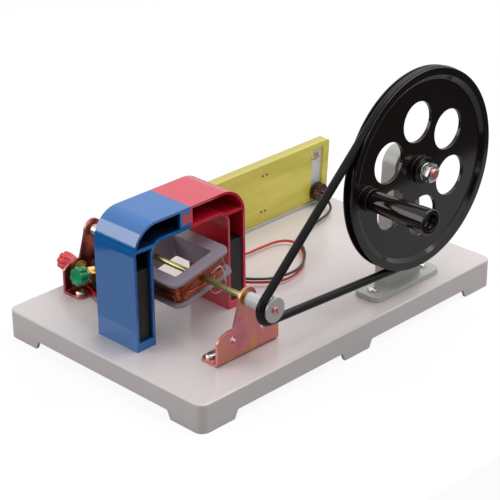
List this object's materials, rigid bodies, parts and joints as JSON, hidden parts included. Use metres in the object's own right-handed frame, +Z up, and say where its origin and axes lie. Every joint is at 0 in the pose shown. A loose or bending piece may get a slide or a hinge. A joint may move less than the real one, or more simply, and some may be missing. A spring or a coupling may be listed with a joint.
{
  "type": "hand crank generator model",
  "caption": "Classroom generator: a cranked flywheel drives, by a round belt, a coil that turns in an arch magnet and feeds a lamp panel.",
  "frame": {"origin": "centre of the base tray's footprint, on the plane where its feet rest", "axes": "+X along the base's long side from the magnet to the flywheel, +Y from the belt drive to the lamp panel, +Z up"},
  "size_m": [0.3, 0.2529, 0.1903],
  "materials": {
    "base_plastic": "satin moulded",
    "blue_plastic": "gloss",
    "red_plastic": "gloss",
    "ferrite": "dull",
    "zinc_steel": "iridescent zinc",
    "bright_steel": "polished",
    "axle_steel": "yellow zinc",
    "brass": "satin",
    "copper": "lacquered copper",
    "tin": "solder",
    "dark_plastic": "satin",
    "phenolic": "dull",
    "white_nylon": "satin",
    "pulley_metal": "turned",
    "belt_rubber": "satin",
    "black_plastic": "gloss",
    "cast_grey": "satin grey",
    "panel_plastic": "translucent yellow-green",
    "rail_metal": "mill",
    "bulb_glass": "clear",
    "led_plastic": "tinted clear",
    "olive_insulator": "dull",
    "green_knob_plastic": "gloss",
    "red_knob_plastic": "gloss",
    "red_sleeve": "satin",
    "black_sleeve": "satin"
  },
  "bodies": {
    "stand": {"base_tray": "base_plastic", "magnet_housing_blue": "blue_plastic", "magnet_housing_red": "red_plastic", "ferrite_slabs": "ferrite", "magnet_screws": "bright_steel", "front_bracket": "zinc_steel", "rear_bracket": "zinc_steel", "bracket_screws": "bright_steel", "base_nuts": "bright_steel", "bearing_bushes": "brass", "brush_block": "phenolic", "brush_strips": "brass", "brush_screws": "bright_steel", "drive_belt": "belt_rubber", "wheel_axle": "bright_steel", "wheel_washers": "bright_steel", "wheel_nuts": "bright_steel", "pedestal": "cast_grey", "pedestal_screws": "bright_steel", "panel_cover": "panel_plastic", "panel_strips": "white_nylon", "strip_eyelets": "brass", "panel_rail": "rail_metal", "rail_screws": "bright_steel", "lamp_holders": "black_plastic", "lamp_lugs": "copper", "bulb_caps": "brass", "bulb_glasses": "bulb_glass", "indicator_leds": "led_plastic", "solder_joints": "tin", "red_insulators": "olive_insulator", "red_post": "bright_steel", "red_nuts": "brass", "red_lug": "brass", "green_post": "bright_steel", "green_base": "brass", "red_lead": "red_sleeve", "black_lead": "black_sleeve"},
    "wheel": {"flywheel": "black_plastic", "wheel_bush": "brass", "crank_pin": "bright_steel"},
    "grip": {"crank_grip": "black_plastic"},
    "rotor": {"rotor_axle": "axle_steel", "axle_collar": "bright_steel", "coil_bobbin": "dark_plastic", "winding_core": "copper", "coil_winding": "copper", "coil_leads": "white_nylon", "slip_ring_sleeve": "phenolic", "slip_rings": "brass", "pulley_spacer": "white_nylon", "small_pulley": "pulley_metal", "pulley_screw": "bright_steel"},
    "red_clamp": {"red_washer": "bright_steel"},
    "red_screw_knob": {"red_knob": "red_knob_plastic"},
    "green_clamp": {"green_washer": "bright_steel"},
    "green_screw_knob": {"green_knob": "green_knob_plastic"}
  },
  "joints": [
    {"name": "wheel_spin", "type": "hinge", "parent": "stand", "child": "wheel", "pos_m": [0.07, -0.091, 0.1163], "axis": [0, 1, 0], "continuous": true},
    {"name": "grip_spin", "type": "hinge", "parent": "wheel", "child": "grip", "pos_m": [0.01414, -0.12, 0.11239], "axis": [0, 1, 0], "continuous": true},
    {"name": "rotor_spin", "type": "hinge", "parent": "stand", "child": "rotor", "pos_m": [-0.0785, 0, 0.0632], "axis": [0, 1, 0], "continuous": true},
    {"name": "red_clamp_slide", "type": "slide", "parent": "stand", "child": "red_clamp", "axis": [0, 1, 0], "range_m": [0, 0.0028]},
    {"name": "red_knob_turn", "type": "hinge", "parent": "red_clamp", "child": "red_screw_knob", "pos_m": [-0.093, 0.098, 0.0375], "axis": [0, 1, 0], "range_deg": [0, 1440]},
    {"name": "green_clamp_slide", "type": "slide", "parent": "stand", "child": "green_clamp", "axis": [-0.9703, 0, 0.2419], "range_m": [0, 0.0028]},
    {"name": "green_knob_turn", "type": "hinge", "parent": "green_clamp", "child": "green_screw_knob", "pos_m": [-0.10014, 0.0748, 0.0371], "axis": [-0.9703, 0, 0.2419], "range_deg": [0, 1440]}
  ],
  "couplings": [
    {"joint": "rotor_spin", "follows": "wheel_spin", "ratio": 7.4737},
    {"joint": "red_knob_turn", "follows": "red_clamp_slide", "rad_per_m": 8975.9},
    {"joint": "green_knob_turn", "follows": "green_clamp_slide", "rad_per_m": 8975.9}
  ]
}
